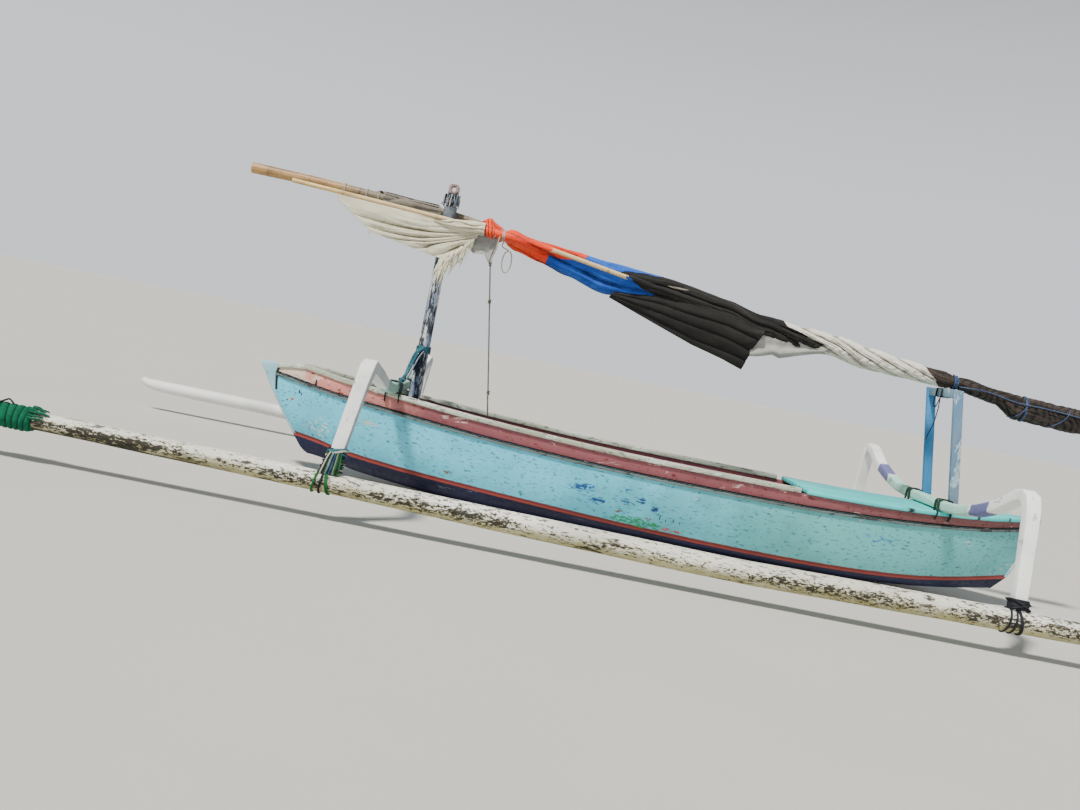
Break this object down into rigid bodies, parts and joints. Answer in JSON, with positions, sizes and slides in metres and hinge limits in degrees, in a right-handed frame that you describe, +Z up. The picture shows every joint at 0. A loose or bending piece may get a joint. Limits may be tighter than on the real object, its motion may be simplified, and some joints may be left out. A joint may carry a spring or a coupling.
{
  "type": "double-outrigger fishing canoe",
  "caption": "Narrow planked dugout canoe with two arched booms, slanted legs and long round floats, a short mast, and a furled sail rig laid aft on a crutch.",
  "frame": {"origin": "on the floor under the middle of the overall box, where the keel's flat stands", "axes": "+X towards the stern, +Y to starboard, +Z up"},
  "size_m": [8.5459, 3.9408, 2.5183],
  "materials": {
    "navy_paint": "worn dark blue paint on wood",
    "blue_paint": "flaking light blue paint on planks",
    "black_paint": "worn black paint on wood",
    "mauve_paint": "faded mauve paint on planks",
    "weathered_cap": "weathered grey-white wood",
    "turquoise_paint": "bright turquoise paint on boards",
    "inner_wood": "bare worn wood",
    "mast_paint": "mottled white and blue-grey paint on a pole",
    "masthead_wood": "bare pinkish wood",
    "arm_paint": "white paint, mint near the hull",
    "float_paint": "flaking white paint on thick bamboo",
    "lashing_rope": "green and black rope turns",
    "green_net": "wound green netting",
    "crutch_paint": "sky blue paint on posts",
    "rig_rope": "blue and white rope turns",
    "bamboo": "tan bamboo with node rings",
    "straw_bamboo": "straw yellow thin bamboo",
    "orange_cloth": "orange-red sailcloth",
    "blue_cloth": "royal blue sailcloth",
    "charcoal_cloth": "charcoal sailcloth",
    "white_cloth": "twisted off-white sailcloth",
    "brown_cloth": "dark brown cloth bound with cord",
    "cream_cloth": "tattered cream sailcloth"
  },
  "bodies": {
    "root": {"hull_log": "navy_paint", "side_plank_port": "blue_paint", "side_plank_starboard": "blue_paint", "rubbing_strake_port": "black_paint", "rubbing_strake_starboard": "black_paint", "washstrake_port": "mauve_paint", "washstrake_starboard": "mauve_paint", "gunwale_port": "weathered_cap", "gunwale_starboard": "weathered_cap", "stem_head": "blue_paint", "stern_head": "blue_paint", "foredeck": "weathered_cap", "aft_deck": "turquoise_paint", "frame_1": "inner_wood", "frame_2": "inner_wood", "frame_3": "inner_wood", "mast_thwart": "inner_wood", "thwart_mid": "inner_wood", "thwart_aft": "inner_wood", "mast_step": "inner_wood", "floorboards": "inner_wood", "mast": "mast_paint", "masthead": "masthead_wood", "boom_front": "arm_paint", "boom_rear": "arm_paint", "leg_front_port": "arm_paint", "leg_front_starboard": "arm_paint", "leg_rear_port": "arm_paint", "leg_rear_starboard": "arm_paint", "lashing_front_port": "lashing_rope", "lashing_front_starboard": "lashing_rope", "lashing_rear_port": "lashing_rope", "lashing_rear_starboard": "lashing_rope", "float_port": "float_paint", "float_starboard": "float_paint", "float_wrap": "green_net", "crutch_post_port": "crutch_paint", "crutch_post_starboard": "crutch_paint", "crutch_bar": "crutch_paint"},
    "strop": {"mast_strop": "rig_rope"},
    "rig": {"yard": "bamboo", "sail_boom": "straw_bamboo", "yard_sling": "rig_rope", "sail_orange": "orange_cloth", "sail_blue": "blue_cloth", "sail_charcoal": "charcoal_cloth", "sail_white": "white_cloth", "sail_brown": "brown_cloth", "sail_flap": "charcoal_cloth", "sail_cream": "cream_cloth"}
  },
  "joints": [
    {"name": "rig_swing", "type": "hinge", "parent": "root", "child": "strop", "pos_m": [-1.345, 0, 2.285], "axis": [0, 0, 1], "range_deg": [-70, 70]},
    {"name": "rig_lift", "type": "hinge", "parent": "strop", "child": "rig", "pos_m": [-1.345, 0, 2.285], "axis": [0, -1, 0], "range_deg": [0, 45]}
  ]
}
